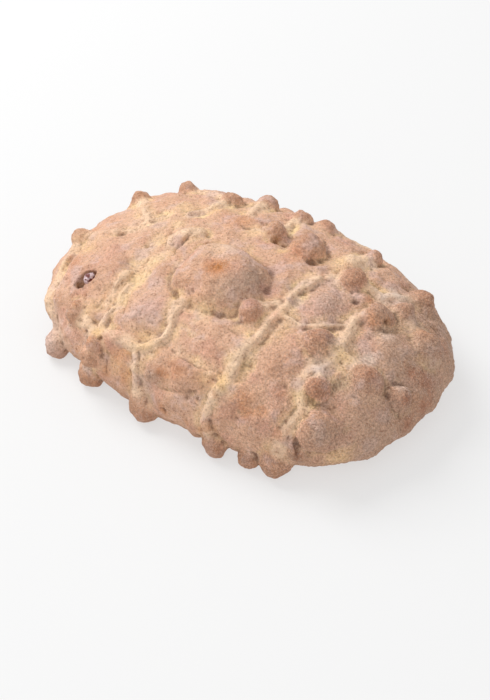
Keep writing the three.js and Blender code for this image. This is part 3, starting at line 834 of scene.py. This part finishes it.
def colours_of(crust):
    """The colour of each point, from what it lies on and how it bulges."""
    p = crust.start
    colour = np.tile(PALETTE["tan"], (len(p), 1))

    def lay(name, strength):
        share = np.clip(strength, 0, 1)[:, None]
        colour[:] = colour * (1 - share) + PALETTE[name] * share

    def bulge(rounds):
        """How far each point lies out of the smoothed crust."""
        return np.sum((crust.points - crust.smooth(crust.points, rounds)) * crust.normals, axis=1)

    wide, fine = bulge(60), bulge(4)
    patchy = noise(p, 15, 31)
    blotchy = noise(p, 6, 32)
    off_knob = smoothstep(crust.knobs[0], -0.5, 3)
    on_neck = smoothstep(crust.necks, 2.5, -0.5) * off_knob
    beside_neck = smoothstep(crust.necks, 9, 2) * off_knob
    on_knob = smoothstep(crust.knobs[0], 2.5, 0.3)
    # What bulges has browned, and hollows and stretched dough have stayed pale.
    lay("rose", 0.4 * smoothstep(noise(p, 18, 36), 0, 0.5))
    lay("brown", 0.35 * smoothstep(wide, 0.3, 1.6) * (1 - on_neck) + 0.2 * blotchy)
    lay("brown", 0.5 * on_knob * smoothstep(wide, 0.4, 2.2))
    hollow = smoothstep(-wide, 0.1, 1.3)
    lay("web", 0.55 * hollow * (0.5 + patchy) + beside_neck * (0.3 + 0.5 * patchy))
    lay("pale", on_neck * (0.8 + 0.3 * blotchy))
    lay("lilac", 0.55 * smoothstep(rough(p, (1, 13, 33), (0.4, 4, 34)), 0.05, 0.6))
    # The sides are more orange, the right end is greyer, and what is near the table is darker.
    lay("orange", 0.4 * smoothstep(noise(p, 12, 35), 0.25, 0.6) * (1 - smoothstep(p[:, 2], 50, 80)))
    # Partly painted shade on the side away from the key light, over a crust that is browner there too.
    lay("grey", 0.6 * smoothstep(p[:, 0] + 0.3 * p[:, 1] - 0.5 * p[:, 2], 50, 130))
    # Partly a browner crust low down, partly painted shade under the loaf's bulge.
    lay("low", 0.6 * smoothstep(24 + 6 * patchy - p[:, 2], 0, 18))
    for lon, lat, radius, name, strength in PATCHES:
        away = np.linalg.norm(p - crust.grid.lift(lon, lat), axis=1) * (1 + 0.5 * blotchy)
        lay(name, strength * bell(away, radius))
    # Painted shade: the finest hollows and creases are darkened.
    lay("painted_shade", 0.6 * smoothstep(-fine, 0.2, 0.8))
    return colour


# ---- pieces ----------------------------------------------------------------------------------------
def mesh_piece(name, points, faces, material):
    """A smooth-shaded object from points in millimetres."""
    mesh = bpy.data.meshes.new(name)
    mesh.from_pydata(points * MM, [], faces)
    mesh.materials.append(material)
    mesh.shade_smooth()
    piece = bpy.data.objects.new(name, mesh)
    bpy.context.collection.objects.link(piece)
    return piece


def paint(piece, name, colours, coarse):
    """Keeps a colour with each vertex, for the material to read, and how coarse it is as its alpha."""
    layer = piece.data.color_attributes.new(name, "FLOAT_COLOR", "POINT")
    layer.data.foreach_set("color", np.concatenate([colours, coarse[:, None]], axis=1).ravel())


def shape_crust(grid):
    """The crust with its relief, from large to small."""
    crust = Crust(grid)
    crust.raise_by(lumps(crust) + creases(crust))
    crust.refresh()
    holes = cracks(crust) + pits(crust) + pores(crust, np.random.default_rng(PORE_SEED))
    crust.raise_by(strands(crust) + wrinkles(crust) + holes)
    crust.refresh()
    crust.raise_by(grain(crust) * (1 + coarseness(crust)))
    crust.refresh()
    return crust


def make_crust(crust):
    faces = crust.faces.tolist() + crust.rings
    piece = mesh_piece("crust", crust.points, faces, crust_material())
    paint(piece, "baked", colours_of(crust), coarseness(crust))
    return piece


def grains(count, random):
    """Tetrahedra of radius 1, each turned its own way, and their faces."""
    corners = np.array([(1, 1, 1), (1, -1, -1), (-1, 1, -1), (-1, -1, 1)]) / math.sqrt(3)
    sides = np.array([(0, 1, 2), (0, 3, 1), (0, 2, 3), (1, 3, 2)])
    turned = np.linalg.qr(random.normal(size=(count, 3, 3)))[0]
    mirrored = np.linalg.det(turned) < 0
    sides = np.where(mirrored[:, None, None], sides[:, ::-1], sides)
    return corners @ turned, sides + 4 * np.arange(count)[:, None, None]


def make_sugar(crust, random):
    """Loose grains of sugar lying on the crust, thickest where it faces up."""
    corners = crust.points[crust.faces]
    normals = crust.normals[crust.faces].mean(axis=1)
    across = np.cross(corners[:, 2] - corners[:, 0], corners[:, 3] - corners[:, 1])
    area = np.linalg.norm(across, axis=1)
    middle = corners.mean(axis=1)
    settled = 0.35 + smoothstep(normals[:, 2], -0.2, 0.9) + smoothstep(noise(middle, 14, 41), 0, 0.5)
    chance = area * settled * (middle[:, 2] > SUGAR_ABOVE)
    chosen = random.choice(len(chance), GRAINS, p=chance / chance.sum())
    u, v = random.random((2, GRAINS, 1))
    c = corners[chosen]
    at = (1 - u) * ((1 - v) * c[:, 0] + v * c[:, 3]) + u * ((1 - v) * c[:, 1] + v * c[:, 2])
    size = random.uniform(*GRAIN_SIZE, (GRAINS, 1, 1))
    shapes, faces = grains(GRAINS, random)
    points = at[:, None] + GRAIN_LIFT * size * normals[chosen][:, None] + size * shapes
    piece = mesh_piece("sugar", points.reshape(-1, 3), faces.reshape(-1, 3).tolist(), sugar_material())
    piece.data.shade_flat()
    return piece


def make_nut():
    """The broken nut that shows in the tear, as large as its solid."""
    fineness, fill = 5, 0.98
    low, high = (np.array(corner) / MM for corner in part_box("nut_piece"))
    bpy.ops.mesh.primitive_ico_sphere_add(subdivisions=fineness)
    ball = bpy.context.object
    points = np.array([v.co for v in ball.data.vertices])
    faces = [tuple(face.vertices) for face in ball.data.polygons]
    bpy.data.objects.remove(ball)
    swell = 1 + 0.16 * noise(points, 0.55, 51) + 0.07 * noise(points, 0.22, 52)
    points = (low + high) / 2 + points * swell[:, None] * (high - low) / 2 * fill
    return mesh_piece("nut", points, faces, nut_material())


# ---- materials -------------------------------------------------------------------------------------
class Nodes:
    """Short ways to add and join the nodes of a material."""

    # Sockets of a mix node that are for colours.
    SHARE, FIRST, SECOND, MIXED = 0, 6, 7, 2

    def __init__(self, name):
        self.material = bpy.data.materials.new(name)
        self.material.use_nodes = True
        self.tree = self.material.node_tree
        self.shader = self.tree.nodes["Principled BSDF"]

    def add(self, kind, **inputs):
        node = self.tree.nodes.new(kind)
        for name, value in inputs.items():
            self.set(node, name.replace("_", " "), value)
        return node

    def set(self, node, name, value):
        if isinstance(value, bpy.types.NodeSocket):
            self.tree.links.new(value, node.inputs[name])
        else:
            node.inputs[name].default_value = value

    def where(self):
        """Object coordinates in millimetres."""
        scaled = self.add("ShaderNodeVectorMath")
        scaled.operation = "SCALE"
        self.set(scaled, "Vector", self.add("ShaderNodeTexCoord").outputs["Object"])
        self.set(scaled, "Scale", 1 / MM)
        return scaled.outputs["Vector"]

    def noise(self, where, size, detail=2.0, roughness=0.5):
        node = self.add("ShaderNodeTexNoise", Vector=where, Scale=1 / size)
        self.set(node, "Detail", detail)
        self.set(node, "Roughness", roughness)
        return node.outputs["Fac"]

    def ramp(self, value, low, high, start=0.0, end=1.0):
        """Goes from start to end while the value goes from low to high."""
        node = self.add("ShaderNodeMapRange", Value=value, From_Min=low, From_Max=high)
        self.set(node, "To Min", start)
        self.set(node, "To Max", end)
        return node.outputs["Result"]

    def mix(self, share, a, b, how="MIX"):
        node = self.tree.nodes.new("ShaderNodeMix")
        node.data_type = "RGBA"
        node.blend_type = how
        for socket, value in ((self.SHARE, share), (self.FIRST, a), (self.SECOND, b)):
            self.set(node, socket, value)
        return node.outputs[self.MIXED]

    def bump(self, height, strength, distance, normal=None):
        node = self.add("ShaderNodeBump", Height=height, Strength=strength, Distance=distance)
        if normal:
            self.set(node, "Normal", normal)
        return node.outputs["Normal"]


def shade(colour):
    """The colour for a node, with its alpha."""
    return (*linear(colour), 1.0)


def crust_material():
    """Dry baked crust: the painted colour, mottled, with grains of sugar and small pores painted in as
    shade.
    """
    m = Nodes("crust")
    where = m.where()
    baked = m.tree.nodes.new("ShaderNodeVertexColor")
    baked.layer_name = "baked"
    colour = baked.outputs["Color"]
    mottled = m.noise(where, size=2.6, detail=4.0, roughness=0.65)
    colour = m.mix(1.0, colour, m.ramp(mottled, 0.3, 0.7, start=0.8, end=1.16), "MULTIPLY")
    speckled = m.noise(where, size=1.4, detail=3.0, roughness=0.7)
    coarse = m.mix(1.0, colour, m.ramp(speckled, 0.34, 0.66, start=0.6, end=1.36), "MULTIPLY")
    colour = m.mix(baked.outputs["Alpha"], colour, coarse)
    frost = m.noise(where, size=0.9, detail=2.0, roughness=0.6)
    colour = m.mix(m.ramp(frost, 0.54, 0.72, end=0.3), colour, shade(FROST))
    # Painted shade: spots darkened as the insides of pores.
    painted_shade = m.noise(where, size=1.5)
    colour = m.mix(m.ramp(painted_shade, 0.45, 0.3, end=0.55), colour, shade(PORE_SHADE))
    m.set(m.shader, "Base Color", colour)
    m.set(m.shader, "Roughness", 0.82)
    m.set(m.shader, "Specular IOR Level", 0.25)
    m.set(m.shader, "Subsurface Weight", 0.0)
    bumps = m.bump(m.noise(where, size=2.2, detail=3.0), strength=0.9, distance=0.0014)
    fine = m.bump(m.noise(where, size=0.9), strength=0.7, distance=0.0005, normal=bumps)
    m.set(m.shader, "Normal", fine)
    return m.material


def sugar_material():
    """Pale grains, some a little warmer than others."""
    m = Nodes("sugar")
    tone = m.mix(m.noise(m.where(), size=9.0), *map(shade, SUGAR_TONES))
    m.set(m.shader, "Base Color", tone)
    m.set(m.shader, "Roughness", 0.45)
    return m.material


def nut_material():
    """Reddish brown skin, with pale flesh where it is broken."""
    m = Nodes("nut")
    where = m.where()
    broken = m.ramp(m.noise(where, size=3.2, detail=3.0), 0.5, 0.56)
    m.set(m.shader, "Base Color", m.mix(broken, shade(NUT_SKIN), shade(NUT_FLESH)))
    m.set(m.shader, "Roughness", 0.6)
    bumps = m.bump(m.noise(where, size=1.2, detail=3.0), strength=0.6, distance=0.0005)
    m.set(m.shader, "Normal", bumps)
    return m.material


# ---- studio ----------------------------------------------------------------------------------------
def make_floor():
    """A plain pale floor that glows faintly, as a lit sweep does."""
    bpy.ops.mesh.primitive_plane_add(size=FLOOR_SIZE)
    floor = bpy.context.object
    floor.name = "floor"
    m = Nodes("floor")
    pale = m.mix(m.noise(m.where(), size=900.0), *map(shade, FLOOR_TONES))
    m.set(m.shader, "Base Color", pale)
    m.set(m.shader, "Roughness", 0.95)
    m.set(m.shader, "Specular IOR Level", 0.0)
    m.set(m.shader, "Emission Color", pale)
    m.set(m.shader, "Emission Strength", FLOOR_GLOW)
    floor.data.materials.append(m.material)


def make_light(name, at, size, power):
    """A square soft light that faces the loaf."""
    light = bpy.data.lights.new(name, "AREA")
    light.size = size
    light.energy = power
    holder = bpy.data.objects.new(name, light)
    holder.location = at
    holder.rotation_euler = (LOOK_AT - Vector(at)).to_track_quat("-Z", "Y").to_euler()
    bpy.context.collection.objects.link(holder)


def make_world(strength):
    world = bpy.data.worlds.new("studio")
    world.use_nodes = True
    background = world.node_tree.nodes["Background"]
    background.inputs["Color"].default_value = (1, 1, 1, 1)
    background.inputs["Strength"].default_value = strength
    bpy.context.scene.world = world


def make_camera():
    """Looks down on the loaf from the front right, with LOOK_AT at its place in the photo's frame."""
    turn, rise = CAMERA_TURN * DEG, CAMERA_RISE * DEG
    back = Vector((math.sin(turn) * math.cos(rise), -math.cos(turn) * math.cos(rise), math.sin(rise)))
    right = Vector((math.cos(turn), math.sin(turn), 0))
    facing = Matrix((right, back.cross(right), back)).transposed()
    across = math.atan((LOOK_AT_PIXEL[0] - FRAME_WIDTH / 2) / FOCAL_PIXELS)
    down = math.atan((FRAME_HEIGHT / 2 - LOOK_AT_PIXEL[1]) / FOCAL_PIXELS)
    facing = facing @ Matrix.Rotation(across, 3, "Y") @ Matrix.Rotation(-down, 3, "X")
    data = bpy.data.cameras.new("camera")
    data.sensor_fit = "VERTICAL"
    data.sensor_height = SENSOR_HEIGHT
    data.lens = FOCAL_PIXELS * SENSOR_HEIGHT / FRAME_HEIGHT
    camera = bpy.data.objects.new("camera", data)
    camera.location = LOOK_AT + back * CAMERA_DISTANCE
    camera.rotation_euler = facing.to_euler()
    bpy.context.collection.objects.link(camera)
    bpy.context.scene.camera = camera
    bpy.context.scene.view_settings.view_transform = "Standard"


# ---- the scene ---------------------------------------------------------------------------------------
make_camera()
make_world(WORLD_STRENGTH)
make_light("key", *KEY_LIGHT)
make_light("fill", *FILL_LIGHT)
make_floor()

grid = bread_grid()
tear = Mound(**TEAR)
tear.at = grid.lift(TEAR["lon"], TEAR["lat"]) + tear.axes[2] * (TEAR["rise"] - TEAR["depth"])
grid.change(tear, CELL, lambda old, new: np.maximum(old, -new))
shaped = shape_crust(grid)
crust = make_crust(shaped)
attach(crust, "root")
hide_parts("loaf")

nut = make_nut()
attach(nut, "root")
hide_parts("nut_piece")

sugar = make_sugar(shaped, np.random.default_rng(SUGAR_SEED))
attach(sugar, "root")
